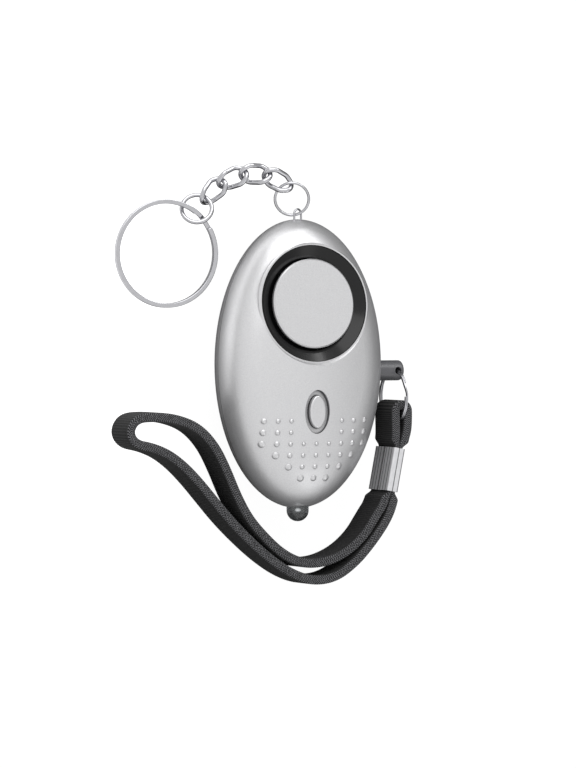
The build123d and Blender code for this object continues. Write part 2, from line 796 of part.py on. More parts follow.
leaf_y = pin_tip_diameter / 2 + leaf_gap + leaf_thickness / 2
with BuildPart() as switch_leaves:
    with BuildSketch(Plane.XY.offset(board_top)):
        with Locations(
            (pin_shoulder - leaf_length / 2, pin_y - leaf_y), (pin_shoulder - leaf_length / 2, pin_y + leaf_y)
        ):
            Rectangle(leaf_length, leaf_thickness)
    extrude(amount=leaf_height)
switch_leaves.part.label = "switch_leaves"
export_step(switch_leaves.part, "parts/switch_leaves.step")

pin_ring = round_ring(pin_ring_centre, Vector(1, 0, 0), pin_ring_outer, pin_ring_wire)
pin_ring.label = "pin_ring"
export_step(pin_ring, "parts/pin_ring.step")

# Wrist strap: a flat band on edge, whose route lies in the floor's plane and sinks towards it away from the crimp
pin_ring_hole = Vector(pin_ring_x, pin_y)
crimp_top = pin_ring_hole + Vector(*crimp_top_shares) * strap_width
crimp_down = heading(crimp_azimuth, 0)
crimp_across = crimp_down.rotate(Axis.Z, 90)
crimp_bottom = crimp_top + crimp_down * crimp_length
strap_step = crimp_across * ((strap_thickness + strap_gap) / 2)
fold_step = crimp_across * ((strap_thickness + fold_gap) / 2)

fold_route = [
    crimp_top - fold_step,
    *[pin_ring_hole + Vector(*share) * strap_width for share in fold_shares],
    crimp_top + fold_step - crimp_down * fold_lead,
    crimp_top + fold_step,
]
wrist_route = [
    crimp_bottom - strap_step,
    crimp_bottom - strap_step + crimp_down * wrist_near_lead,
    *[Vector(half_width * across, half_length * along) for across, along in wrist_shares],
    crimp_bottom + strap_step + crimp_down * wrist_far_lead,
    crimp_bottom + strap_step,
]
strap_high = parting_height - strap_width / 2
sink_start, sink_end = (half_width * share for share in strap_sink_shares)


def strap_band(route):
    """Solid of the band along a flat route, from the floor up to the top of its edge at the crimp."""
    with BuildPart() as form:
        with BuildSketch(Plane.XY.offset(strap_low)):
            with BuildLine():
                FilletPolyline(*route, radius=arc_radii(route))
            trace(line_width=strap_thickness)
        extrude(amount=strap_high - strap_low + strap_width)
    return form.part


def strap_length(route):
    """Length of a route's straight runs and arcs."""
    with BuildLine() as path:
        FilletPolyline(*route, radius=arc_radii(route))
    return sum(edge.length for edge in path.edges())


print("fold radii", [round(radius, 1) for radius in arc_radii(fold_route)])
print("wrist radii", [round(radius, 1) for radius in arc_radii(wrist_route)])
print("fold length", round(strap_length(fold_route), 1), "wrist length", round(strap_length(wrist_route), 1))

strap_side = [
    Vector(case_width * 2, strap_high),
    Vector(sink_start, strap_high),
    Vector(sink_end, strap_low),
    Vector(-case_width * 2, strap_low),
]
strap_side_radius = (sink_start - sink_end) * strap_sink_radius_share
with BuildPart() as strap_envelope:
    with BuildSketch(Plane.XZ):
        with BuildLine():
            side_low = FilletPolyline(*strap_side, radius=strap_side_radius)
            side_top = FilletPolyline(*[point + Vector(0, strap_width) for point in strap_side], radius=strap_side_radius)
            Line(side_low @ 0, side_top @ 0)
            Line(side_low @ 1, side_top @ 1)
        make_face()
    extrude(amount=case_length, both=True)

with BuildPart() as wrist_loop:
    add(strap_band(wrist_route))
    add(strap_envelope.part, mode=Mode.INTERSECT)
wrist_loop.part.label = "wrist_loop"
export_step(wrist_loop.part, "parts/wrist_loop.step")

core_plane = Plane(
    origin=(crimp_top.X, crimp_top.Y, parting_height), x_dir=crimp_across, z_dir=crimp_down
)
with BuildPart() as ring_loop:
    add(strap_band(fold_route))
    add(strap_envelope.part, mode=Mode.INTERSECT)
    with BuildSketch(core_plane):
        Rectangle(strap_core_thickness, strap_width - crimp_sheet)
    extrude(amount=crimp_length)
ring_loop.part.label = "ring_loop"
export_step(ring_loop.part, "parts/ring_loop.step")

with BuildPart() as crimp:
    with BuildSketch(core_plane):
        RectangleRounded(crimp_thickness, crimp_width, crimp_edge_round)
        Rectangle(strap_core_thickness + fit_gap, strap_width - crimp_sheet + fit_gap, mode=Mode.SUBTRACT)
    extrude(amount=crimp_length)
    with BuildSketch(core_plane):
        with Locations((-crimp_thickness / 2, 0)):
            Rectangle(crimp_sheet, crimp_seam)
    extrude(amount=crimp_length, mode=Mode.SUBTRACT)
crimp.part.label = "crimp"
export_step(crimp.part, "parts/crimp.step")

# Key chain: each piece hangs in the one before it, from the eyelet to the key ring
top_ring_normal = Vector(-0.43, -0.31, 0.853).normalized()
top_ring_mean = (top_ring_outer - top_ring_wire) / 2
top_ring_pass = Vector(0, half_length + top_ring_rise, parting_height)
top_ring_down = (Vector(0, -1, 0) + top_ring_normal * top_ring_normal.Y).normalized()
top_ring_side = top_ring_normal.cross(top_ring_down)
pass_turn = radians(top_ring_pass_turn)
top_ring_centre = top_ring_pass - (top_ring_down * cos(pass_turn) + top_ring_side * sin(pass_turn)) * top_ring_mean
top_ring = round_ring(top_ring_centre, top_ring_normal, top_ring_outer, top_ring_wire)
top_ring.label = "top_ring"
export_step(top_ring, "parts/top_ring.step")
print("top_ring pivot", tuple(round(v, 3) for v in top_ring_pass))

link_axis_length = link_length - link_wire
link_axis_width = link_width - link_wire
link_pitch_gap = link_wire + link_gap
link_headings = [(150, -17), (178, -19.5), (204, -21.5), (226, -11.5)]
link_rolls = (-10, 0, 0, 0)
hang_turn = radians(top_ring_hang_turn)
hang_out = top_ring_down * -cos(hang_turn) - top_ring_side * sin(hang_turn)
tip = top_ring_centre + hang_out * (top_ring_mean - (top_ring_wire + link_wire) / 2 - link_gap)
print("chain_link_1 pivot", tuple(round(v, 3) for v in tip + hang_out * (link_pitch_gap / 2)))
for number in range(link_count):
    ahead = heading(*link_headings[number])
    if number:
        tip = pivot - ahead * (link_pitch_gap / 2)
        print(f"chain_link_{number + 1} pivot", tuple(round(v, 3) for v in pivot))
    beside = Vector(0, 0, 1).cross(ahead).normalized()
    above = ahead.cross(beside)
    roll = radians(link_rolls[number])
    beside, above = beside * cos(roll) + above * sin(roll), above * cos(roll) - beside * sin(roll)
    middle = tip + ahead * (link_axis_length / 2)
    stretch = 1 / cos(radians(link_corner_turn))
    corners = []
    for corner in range(round(180 / link_corner_turn)):
        turn = radians(link_corner_turn * (1 + 2 * corner))
        corners.append(
            middle
            + ahead * (link_axis_length / 2 * stretch * cos(turn))
            + beside * (link_axis_width / 2 * stretch * sin(turn))
            - above * (link_twist_height * sin(2 * turn))
        )
    waist_a = (corners[1] + corners[2]) * 0.5
    waist_b = (corners[5] + corners[6]) * 0.5
    with BuildPart() as chain_link:
        add(wire_along([waist_a, corners[1], corners[0], corners[7], corners[6], waist_b], link_wire))
        add(wire_along([waist_a, corners[2], corners[3], corners[4], corners[5], waist_b], link_wire))
    chain_link.part.label = f"chain_link_{number + 1}"
    export_step(chain_link.part, f"parts/chain_link_{number + 1}.step")
    pivot = tip + ahead * (link_axis_length - link_pitch_gap / 2)
tail = tip + ahead * link_axis_length

jump_ring_normal = Vector(-0.41, 0.43, 0.80).normalized()
jump_ring_mean = (jump_ring_outer - jump_ring_wire) / 2
jump_out = Vector(0.65, 0.75, 0)
jump_out = (jump_out - jump_ring_normal * jump_out.dot(jump_ring_normal)).normalized()
jump_pivot = tail + jump_out * ((link_wire + link_gap) / 2)
jump_ring_centre = tail - jump_out * (jump_ring_mean - (link_wire + jump_ring_wire) / 2 - link_gap)
jump_ring = round_ring(jump_ring_centre, jump_ring_normal, jump_ring_outer, jump_ring_wire)
jump_ring.label = "jump_ring"
export_step(jump_ring, "parts/jump_ring.step")
print("jump_ring pivot", tuple(round(v, 3) for v in jump_pivot), "centre", tuple(jump_ring_centre))

key_ring_mean = (key_ring_outer - key_ring_band) / 2
key_ring_normal = Vector(-sin(radians(key_ring_slope)), 0, cos(radians(key_ring_slope)))
key_ring_out = heading(key_ring_azimuth, 0)
key_ring_out = (key_ring_out - key_ring_normal * key_ring_out.dot(key_ring_normal)).normalized()
key_pivot = jump_ring_centre - Vector(*key_ring_pass_shares) * jump_ring_mean
key_ring_centre = key_pivot - key_ring_out * key_ring_mean
key_plane = Plane(origin=key_ring_centre, x_dir=key_ring_out, z_dir=key_ring_normal)
with BuildPart() as key_ring:
    with BuildSketch(Plane(origin=key_ring_centre, x_dir=key_plane.x_dir, z_dir=key_plane.y_dir * -1)):
        with Locations((key_ring_mean, 0)):
            RectangleRounded(key_ring_band, key_ring_height, key_ring_band / 3)
        for side in (-1, 1):
            with Locations((key_ring_mean + side * key_ring_band / 2, 0)):
                Rectangle(key_ring_groove, key_ring_groove, mode=Mode.SUBTRACT)
    revolve(axis=Axis(key_ring_centre, key_ring_normal))
key_ring.part.label = "key_ring"
export_step(key_ring.part, "parts/key_ring.step")
print("key_ring pivot", tuple(round(v, 3) for v in key_pivot), "centre", tuple(key_ring_centre))
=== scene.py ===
"""Looks of the personal safety alarm: its case with a siren, its pull pin on a strap, and its key chain."""

import logging
import math
from dataclasses import dataclass
from enum import Enum

import bpy
import numpy as np
from mathutils import Matrix, Vector


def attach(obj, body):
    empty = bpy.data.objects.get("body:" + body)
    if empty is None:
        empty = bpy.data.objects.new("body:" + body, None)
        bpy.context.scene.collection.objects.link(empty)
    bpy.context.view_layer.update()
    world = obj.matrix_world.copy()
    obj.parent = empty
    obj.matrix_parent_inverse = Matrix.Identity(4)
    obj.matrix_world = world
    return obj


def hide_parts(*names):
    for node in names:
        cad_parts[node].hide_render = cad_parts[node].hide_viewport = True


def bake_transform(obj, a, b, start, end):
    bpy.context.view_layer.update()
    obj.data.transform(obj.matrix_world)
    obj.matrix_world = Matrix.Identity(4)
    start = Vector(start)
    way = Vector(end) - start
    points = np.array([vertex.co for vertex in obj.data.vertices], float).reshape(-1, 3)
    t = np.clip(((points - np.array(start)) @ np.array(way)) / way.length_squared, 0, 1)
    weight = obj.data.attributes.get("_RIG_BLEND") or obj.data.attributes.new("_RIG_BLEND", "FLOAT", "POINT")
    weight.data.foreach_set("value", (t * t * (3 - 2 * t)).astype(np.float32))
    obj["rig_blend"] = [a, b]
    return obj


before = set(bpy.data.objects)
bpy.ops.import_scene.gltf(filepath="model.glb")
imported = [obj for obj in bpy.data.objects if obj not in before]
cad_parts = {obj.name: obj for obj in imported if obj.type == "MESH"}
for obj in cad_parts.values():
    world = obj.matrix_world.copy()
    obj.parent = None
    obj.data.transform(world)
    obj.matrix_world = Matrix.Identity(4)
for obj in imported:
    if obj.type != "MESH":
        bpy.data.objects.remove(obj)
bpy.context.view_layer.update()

MM = 0.001
LINKS = 4
CELLS = 3
LOG = logging.getLogger("scene")


class Body(Enum):
    """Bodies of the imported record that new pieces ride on."""

    CASE = "case"
    PIN = "pin"
    PIN_RING = "pin_ring_turning"
    KEY_RING = "key_ring_swinging"


def linear_colour(code: str) -> tuple[float, float, float, float]:
    """Turns an sRGB hex code into a linear colour.

    Args:
        code: Six hex digits.

    Returns:
        Linear red, green and blue, and an opacity of one.
    """
    parts = [int(code[start : start + 2], 16) / 255 for start in (0, 2, 4)]
    turned = [part / 12.92 if part <= 0.04045 else ((part + 0.055) / 1.055) ** 2.4 for part in parts]
    return (*turned, 1.0)


class NodeTree:
    """A node tree that is built a node at a time."""

    def __init__(self, tree: bpy.types.NodeTree) -> None:
        """Empties the tree and keeps it."""
        tree.nodes.clear()
        self.tree = tree

    def add(self, kind: str, *values: object, **named: object) -> bpy.types.Node:
        """Adds one node with its settings, values and links.

        Args:
            kind: Type of node, without its common first word.
            values: For each input in use, in order: a value, a colour, an output, or a node, which
                stands for its first output.
            named: Settings by their own names, and inputs by theirs, with a capital and _ for a space.

        Returns:
            The node.
        """
        node = self.tree.nodes.new("ShaderNode" + kind)
        for name, value in named.items():
            if name[0].islower():
                setattr(node, name, value)
        in_use = [socket for socket in node.inputs if socket.enabled]
        by_name = {name.replace("_", " "): value for name, value in named.items() if name[0].isupper()}
        pairs = [*zip(in_use, values), *((node.inputs[name], value) for name, value in by_name.items())]
        for socket, value in pairs:
            if isinstance(value, bpy.types.Node):
                value = next(output for output in value.outputs if output.enabled)
            if isinstance(value, bpy.types.NodeSocket):
                self.tree.links.new(value, socket)
            else:
                socket.default_value = value
        return node


class Shader(NodeTree):
    """Node tree of one material, with each point's place on the object in millimetres."""

    def __init__(self, name: str) -> None:
        """Starts a material.

        Args:
            name: Name of the material.
        """
        self.material = bpy.data.materials.new(name)
        self.material.use_nodes = True
        super().__init__(self.material.node_tree)
        metres = self.add("TexCoord").outputs["Object"]
        self.place = self.add("VectorMath", metres, operation="SCALE", Scale=1 / MM)


@dataclass(frozen=True)
class Paint:
    """Satin silver paint, sprayed on moulded plastic: a soft sheen with fine flakes and a faint orange peel.

    Real flakes are about 0.03 mm. They are drawn at 0.11 mm, so that they just show.
    """

    light: str = "e2e2e3"
    dark: str = "cfcfd1"
    flakes_per_mm: float = 9.0
    flake_detail: float = 1.0
    flake_range: tuple[float, float] = (0.35, 0.65)
    hollow_shade: str = "4c4c4e"
    hollow_shade_reach: float = 0.9
    hollow_shade_samples: int = 8
    hollow_shade_range: tuple[float, float] = (0.5, 0.93)
    seam_shadow: str = "6c6c6e"
    seam_height: float = 8.4
    seam_shadow_half_width: float = 0.09
    smudges_per_mm: float = 0.35
    smudge_detail: float = 3.0
    roughness: tuple[float, float] = (0.30, 0.38)
    peel_per_mm: float = 1.4
    peel_detail: float = 3.0
    peel_depth: float = 0.004
    metallic: float = 0.72
    coat: float = 0.18
    coat_roughness: float = 0.22

    def build(self, name: str, with_seam: bool) -> bpy.types.Material:
        """Builds the paint: flakes of two tones, with painted shade in the form's hollows.

        Args:
            name: Name of the material.
            with_seam: True for the two shells, whose meeting edge shows as a fine painted shadow line.

        Returns:
            The material.
        """
        shader = Shader(name)
        add = shader.add
        flakes = add("TexNoise", shader.place, Scale=self.flakes_per_mm, Detail=self.flake_detail)
        share = add("MapRange", flakes, *self.flake_range)
        tone = add("Mix", share, linear_colour(self.dark), linear_colour(self.light), data_type="RGBA")
        # Painted shadow: a fine dark line at the shells' meeting edge, standing for the shade in the gap
        # between them.
        if with_seam:
            height = add("SeparateXYZ", shader.place).outputs["Z"]
            over = add("Math", height, self.seam_height, operation="SUBTRACT")
            away = add("Math", over, operation="ABSOLUTE")
            line = add("MapRange", away, self.seam_shadow_half_width / 2, self.seam_shadow_half_width, 1.0, 0.0)
            tone = add("Mix", line, tone, linear_colour(self.seam_shadow), data_type="RGBA")
        # Painted shade: darker where ambient occlusion finds hollows, such as recesses and the bases of the
        # dots.
        around = add("AmbientOcclusion", samples=self.hollow_shade_samples, Distance=self.hollow_shade_reach * MM)
        hollow_shade_share = add("MapRange", around.outputs["AO"], *self.hollow_shade_range, 1.0, 0.0)
        tone = add("Mix", hollow_shade_share, tone, linear_colour(self.hollow_shade), data_type="RGBA")
        smudges = add("TexNoise", shader.place, Scale=self.smudges_per_mm, Detail=self.smudge_detail)
        peel = add("TexNoise", shader.place, Scale=self.peel_per_mm, Detail=self.peel_detail)
        surface = add(
            "BsdfPrincipled", Base_Color=tone, Metallic=self.metallic, Coat_Weight=self.coat,
            Coat_Roughness=self.coat_roughness, Roughness=add("MapRange", smudges, 0.0, 1.0, *self.roughness),
            Normal=add("Bump", Height=peel, Distance=self.peel_depth * MM),
        )
        add("OutputMaterial", surface)
        return shader.material


@dataclass(frozen=True)
class Plastic:
    """Moulded plastic, from matte to gloss, with a fine mould texture and a slight change of colour."""

    light: str
    dark: str
    roughness: float
    roughness_share: float = 0.15
    clouds_per_mm: float = 0.5
    smudges_per_mm: float = 0.8
    cloud_detail: float = 3.0
    grain_per_mm: float = 6.0
    grain_detail: float = 4.0
    grain_depth: float = 0.006
    specular: float = 0.5
    index: float = 1.49

    def build(self, name: str) -> bpy.types.Material:
        """Builds the plastic.

        Args:
            name: Name of the material.

        Returns:
            The material.
        """
        shader = Shader(name)
        add = shader.add
        clouds = add("TexNoise", shader.place, Scale=self.clouds_per_mm, Detail=self.cloud_detail)
        tone = add("Mix", clouds, linear_colour(self.dark), linear_colour(self.light), data_type="RGBA")
        smudges = add("TexNoise", shader.place, Scale=self.smudges_per_mm, Detail=self.cloud_detail)
        ends = self.roughness * (1 - self.roughness_share), self.roughness * (1 + self.roughness_share)
        grain = add("TexNoise", shader.place, Scale=self.grain_per_mm, Detail=self.grain_detail)
        surface = add(
            "BsdfPrincipled", Base_Color=tone, Roughness=add("MapRange", smudges, 0.0, 1.0, *ends),
            Specular_IOR_Level=self.specular, IOR=self.index,
            Normal=add("Bump", Height=grain, Distance=self.grain_depth * MM),
        )
        add("OutputMaterial", surface)
        return shader.material


@dataclass(frozen=True)
class Metal:
    """Plated or bare metal: fine rubbed scratches and smudges, and on the crimp painted shade lines between
    its pressed flutes.

    Real scratches are under 0.02 mm. They are drawn at 0.07 mm, so that they soften the shine. A pitch
    of zero for the flutes means none.
    """

    light: str
    dark: str
    roughness: float
    roughness_share: float = 0.3
    metallic: float = 1.0
    clouds_per_mm: float = 0.9
    smudges_per_mm: float = 2.5
    cloud_detail: float = 3.0
    scratches_per_mm: float = 14.0
    scratch_detail: float = 2.0
    scratch_stretch: tuple[float, float, float] = (1.0, 0.12, 1.0)
    scratch_depth: float = 0.0015
    flute_groove_shade: str = "3f3f41"
    flute_pitch: float = 0.0
    flute_width: float = 0.16
    flute_shade_strength: float = 0.85
    flute_across: tuple[float, float, float] = (-0.981, 0.193, 1.0)

    def build(self, name: str) -> bpy.types.Material:
        """Builds the metal.

        Args:
            name: Name of the material.

        Returns:
            The material.
        """
        shader = Shader(name)
        add = shader.add
        clouds = add("TexNoise", shader.place, Scale=self.clouds_per_mm, Detail=self.cloud_detail)
        tone = add("Mix", clouds, linear_colour(self.dark), linear_colour(self.light), data_type="RGBA")
        # Painted shade: dark lines between the crimp's pressed flutes, where shade falls in their grooves.
        if self.flute_pitch > 0:
            across = add("VectorMath", shader.place, self.flute_across, operation="DOT_PRODUCT")
            away = add("Math", across, self.flute_pitch / 2, operation="PINGPONG")
            line = add("MapRange", away, self.flute_width / 2, self.flute_width, self.flute_shade_strength, 0.0)
            tone = add("Mix", line, tone, linear_colour(self.flute_groove_shade), data_type="RGBA")
        smudges = add("TexNoise", shader.place, Scale=self.smudges_per_mm, Detail=self.cloud_detail)
        ends = self.roughness * (1 - self.roughness_share), self.roughness * (1 + self.roughness_share)
        stretched = add("VectorMath", shader.place, self.scratch_stretch, operation="MULTIPLY")
        scratches = add("TexNoise", stretched, Scale=self.scratches_per_mm, Detail=self.scratch_detail)
        surface = add(
            "BsdfPrincipled", Base_Color=tone, Metallic=self.metallic,
            Roughness=add("MapRange", smudges, 0.0, 1.0, *ends),
            Normal=add("Bump", Height=scratches, Distance=self.scratch_depth * MM),
        )
        add("OutputMaterial", surface)
        return shader.material


@dataclass(frozen=True)
class ClearEpoxy:
    """Cast epoxy of a lamp: clear as glass, with a smooth skin."""

    light: str = "dfe2e4"
    dark: str = "cdd1d4"
    clouds_per_mm: float = 0.2
    smudges_per_mm: float = 0.4
    cloud_detail: float = 3.0
    roughness: tuple[float, float] = (0.01, 0.03)
    clear: float = 0.96
    index: float = 1.5

    def build(self, name: str) -> bpy.types.Material:
        """Builds the epoxy.

        Args:
            name: Name of the material.

        Returns:
            The material.
        """
        shader = Shader(name)
        add = shader.add
        clouds = add("TexNoise", shader.place, Scale=self.clouds_per_mm, Detail=self.cloud_detail)
        tone = add("Mix", clouds, linear_colour(self.dark), linear_colour(self.light), data_type="RGBA")
        smudges = add("TexNoise", shader.place, Scale=self.smudges_per_mm, Detail=self.cloud_detail)
        surface = add(
            "BsdfPrincipled", Base_Color=tone, Transmission_Weight=self.clear, IOR=self.index,
            Roughness=add("MapRange", smudges, 0.0, 1.0, *self.roughness),
        )
        add("OutputMaterial", surface)
        return shader.material


@dataclass(frozen=True)
class Webbing:
    """Woven nylon band: crosswise ribs on its wide faces and a herringbone of flecks on its edges, both
    lighter where their yarns rise as a painted highlight.

    Each of the ribs and flecks is a group of yarns, about 0.5 mm wide, which is as fine as the picture shows.
    """

    ground: str = "080808"
    rib: str = "363637"
    edge_ground: str = "070708"
    fleck_highlight: str = "7a7a7d"
    rib_pitch: float = 0.48
    rib_range: tuple[float, float] = (0.2, 0.9)
    yarn_shade: float = 0.7
    fleck_pitch: float = 0.5
    fleck_row: float = 0.42
    fleck_lean: float = 0.9
    fleck_range: tuple[float, float] = (0.42, 0.82)
    ragged_per_mm: float = 3.2
    ragged_detail: float = 3.0
    ragged_range: tuple[float, float] = (0.3, 1.6)
    relief: float = 0.07
    roughness: float = 0.82
    specular: float = 0.3
    sheen: float = 0.06
    sheen_roughness: float = 0.5

    def build(self, name: str) -> bpy.types.Material:
        """Builds the weave from the band's own coordinates, in millimetres along and across it.

        The ribs rise and fall evenly along the band. The flecks do so along a line that leans one way in one
        row and the other way in the next, and noise frays them. Both are coloured lighter where they rise, a
        painted highlight.

        Args:
            name: Name of the material.

        Returns:
            The material.
        """
        shader = Shader(name)
        add = shader.add
        flat = add("SeparateXYZ", add("UVMap", uv_map="weave"))
        along, across = flat.outputs["X"], flat.outputs["Y"]
        edge = add("Attribute", attribute_name="edge").outputs["Fac"]

        row = add("Math", add("Math", across, self.fleck_row, operation="DIVIDE"), operation="FLOOR")
        side = add("Math", add("Math", row, 1.0, operation="PINGPONG"), 2.0, operation="MULTIPLY")
        side = add("Math", side, 1.0, operation="SUBTRACT")
        lean = add("Math", across, self.fleck_lean, operation="MULTIPLY")
        lean = add("Math", side, lean, operation="MULTIPLY")
        wave = add("Math", along, lean, operation="ADD")
        wave = add("Math", wave, self.fleck_pitch / 2, operation="DIVIDE")
        wave = add("Math", wave, 1.0, operation="PINGPONG")
        ragged = add("TexNoise", shader.place, Scale=self.ragged_per_mm, Detail=self.ragged_detail)
        frayed = add("MapRange", ragged, 0.0, 1.0, *self.ragged_range)
        flecks = add("MapRange", add("Math", wave, frayed, operation="MULTIPLY"), *self.fleck_range)

        ribs = add("Math", along, self.rib_pitch / 2, operation="DIVIDE")
        ribs = add("Math", ribs, 1.0, operation="PINGPONG")
        yarns = add("Math", across, self.rib_pitch / 4, operation="DIVIDE")
        yarns = add("Math", yarns, 1.0, operation="PINGPONG")
        yarns = add("MapRange", yarns, 0.0, 1.0, self.yarn_shade, 1.0)
        ribs = add("Math", ribs, yarns, operation="MULTIPLY")

        share = add("MapRange", ribs, *self.rib_range)
        # Painted highlight: the ribs' raised yarns take a lighter colour than the black ground.
        ground, rib = linear_colour(self.ground), linear_colour(self.rib)
        wide = add("Mix", share, ground, rib, data_type="RGBA")
        # Painted highlight: the flecks on the edges take a lighter colour where their yarns rise.
        ground, fleck_highlight = linear_colour(self.edge_ground), linear_colour(self.fleck_highlight)
        narrow = add("Mix", flecks, ground, fleck_highlight, data_type="RGBA")
        tone = add("Mix", edge, wide, narrow, data_type="RGBA")
        off_edge = add("Math", 1.0, edge, operation="SUBTRACT")
        wide_relief = add("Math", ribs, off_edge, operation="MULTIPLY")
        edge_relief = add("Math", flecks, edge, operation="MULTIPLY")
        relief = add("Math", wide_relief, edge_relief, operation="ADD")
        surface = add(
            "BsdfPrincipled", Base_Color=tone, Roughness=self.roughness, Sheen_Weight=self.sheen,
            Sheen_Roughness=self.sheen_roughness, Specular_IOR_Level=self.specular,
            Normal=add("Bump", Height=relief, Distance=self.relief * MM),
        )
        add("OutputMaterial", surface)
        return shader.material


class Palette:
    """Every material of the alarm, one for each real one."""

    def __init__(self) -> None:
        """Builds the materials."""
        # Sprayed silver paint of the shells, satin, with painted shade in its hollows and a painted shadow
        # line at the meeting edge between them
        self.shell_paint = Paint().build("silver_shell_paint", True)
        # The same paint on the siren's cap and the button, a little evener, with the same painted shade in
        # its hollows
        self.cap_paint = Paint(dark="cdcdcf").build("silver_cap_paint", False)
        # Polished black moulding round the siren's cap, whose gloss mirrors the light boxes
        gloss = Plastic("0e0e0f", "080809", 0.16, grain_per_mm=1.2, grain_depth=0.003, specular=0.4)
        self.black_gloss = gloss.build("black_gloss_moulding")
        # Matte black moulding of the inner parts
        self.black_matte = Plastic("1c1c1d", "101011", 0.55).build("black_matte_moulding")
        # Grey moulding of the pull pin, half gloss
        grey = Plastic("636366", "525255", 0.28, grain_per_mm=3.0, grain_depth=0.004)
        self.pin_grey = grey.build("grey_pin_moulding")
        # Bright nickel plate of the eyelet, the rings and the chain
        self.nickel = Metal("d0d0d3", "bcbcc0", 0.12).build("bright_nickel_plate")
        # Pressed and plated steel of the crimp, dull, with painted shade lines between its flutes
        crimp = Metal("e6e6e8", "cfcfd2", 0.34, metallic=0.35, flute_pitch=1.25)
        self.crimp_steel = crimp.build("pressed_crimp_steel")
        # Drawn and plated steel of the cells
        self.cell_steel = Metal("c9c9cb", "b8b8ba", 0.24).build("cell_steel")
        # Plated spring steel of the contacts
        self.spring_steel = Metal("bdbdbf", "a6a6a8", 0.28).build("plated_spring_steel")
        # Zinc plate of the screws, duller than nickel
        self.screw_steel = Metal("a9a9ab", "8f8f92", 0.32).build("zinc_plated_screws")
        # Rolled brass of the siren's plate
        self.brass = Metal("c9a75c", "b08d45", 0.30).build("rolled_brass")
        # Fired ceramic of the siren, off-white and fine-grained
        self.ceramic = Plastic("eeeee6", "ddddd3", 0.45, grain_per_mm=12.0).build("fired_ceramic")
        # Green solder mask of the board
        self.board = Plastic("1f6b38", "174f2a", 0.35, grain_per_mm=2.0).build("green_solder_mask")
        # Lacquered copper winding of the coil
        self.copper = Metal("b4703f", "93552c", 0.30).build("lacquered_copper")
        # Soft red sleeve of the wires
        self.sleeve = Plastic("a32a20", "8a1f17", 0.45).build("soft_wire_sleeve")
        # Clear cast epoxy of the lamp
        self.lens = ClearEpoxy().build("clear_epoxy")
        # Woven nylon of the strap, dull black with ribs and flecks, whose raised yarns carry a painted
        # highlight
        self.webbing = Webbing().build("woven_nylon")


def give(material: bpy.types.Material, *nodes: str) -> None:
    """Puts a material in the slots of CAD nodes, on the object and not on its mesh.

    Args:
        material: The material.
        nodes: Names of the CAD nodes.
    """
    for node in nodes:
        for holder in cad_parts[node].material_slots:
            holder.link = "OBJECT"
            holder.material = material


def eased(share: np.ndarray) -> np.ndarray:
    """Holds shares between 0 and 1 and softens both ends: three times the square less twice the cube."""
    share = np.clip(share, 0, 1)
    return share * share * (3 - 2 * share)


def reach_along(line: np.ndarray) -> np.ndarray:
    """Distance of each point from the line's start, summed step by step."""
    return np.concatenate([[0.0], np.cumsum(np.linalg.norm(np.diff(line, axis=0), axis=1))])


def smooth_line(name: str, points: np.ndarray) -> np.ndarray:
    """Points of a quadratic spline that starts and ends at its first and last control points.

    Args:
        name: Name for the line while it is read.
        points: Control points in metres, one row each.

    Returns:
        Points along the line, one row each.
    """
    data = bpy.data.curves.new(name, "CURVE")
    data.dimensions = "3D"
    data.resolution_u = 24
    spline = data.splines.new("NURBS")
    spline.points.add(len(points) - 1)
    spline.points.foreach_set("co", np.hstack([points, np.ones((len(points), 1))]).ravel())
    spline.order_u = 3
    spline.use_endpoint_u = True
    holder = bpy.data.objects.new(name, data)
    mesh = bpy.data.meshes.new_from_object(holder)
    line = np.empty(len(mesh.vertices) * 3)
    mesh.vertices.foreach_get("co", line)
    bpy.data.meshes.remove(mesh)
    bpy.data.objects.remove(holder)
    bpy.data.curves.remove(data)
    return line.reshape(-1, 3)


def even_points(line: np.ndarray, step: float) -> np.ndarray:
    """Points at even steps along a line, read between its own points by the distance from its start.

    Args:
        line: Points of the line.
        step: Wanted step in metres.

    Returns:
        The new points.
    """
    reach = reach_along(line)
    places = np.linspace(0.0, reach[-1], max(3, int(round(reach[-1] / step)) + 1))
    return np.column_stack([np.interp(places, reach, line[:, axis]) for axis in range(3)])


def tube_faces(rows: int, columns: int) -> list[list[int]]:
    """Faces of a tube whose rows are closed loops of points, with one face over each end.

    Args:
        rows: Number of loops.
        columns: Points in each loop.

    Returns:
        Lists of point numbers.
    """
    row, column = np.meshgrid(np.arange(rows - 1), np.arange(columns), indexing="ij")
    here, after = row * columns, (row + 1) * columns
    beside = (column + 1) % columns
    corners = [here + column, here + beside, after + beside, after + column]
    faces = np.stack(corners, axis=-1).reshape(-1, 4).tolist()
    return [*faces, list(range(columns))[::-1], list(range((rows - 1) * columns, rows * columns))]


def new_piece(
    name: str, points: np.ndarray, faces: list[list[int]], material: bpy.types.Material
) -> bpy.types.Object:
    """Makes a smooth-shaded mesh piece.

    Args:
        name: Name of the piece.
        points: Points in metres, one row each.
        faces: Lists of point numbers.
        material: Its material.

    Returns:
        The piece.
    """
    mesh = bpy.data.meshes.new(name)
    mesh.from_pydata(points.tolist(), [], faces)
    mesh.polygons.foreach_set("use_smooth", np.ones(len(mesh.polygons), dtype=bool))
    mesh.materials.append(material)
    mesh.update()
    piece = bpy.data.objects.new(name, mesh)
    bpy.context.scene.collection.objects.link(piece)
    return piece


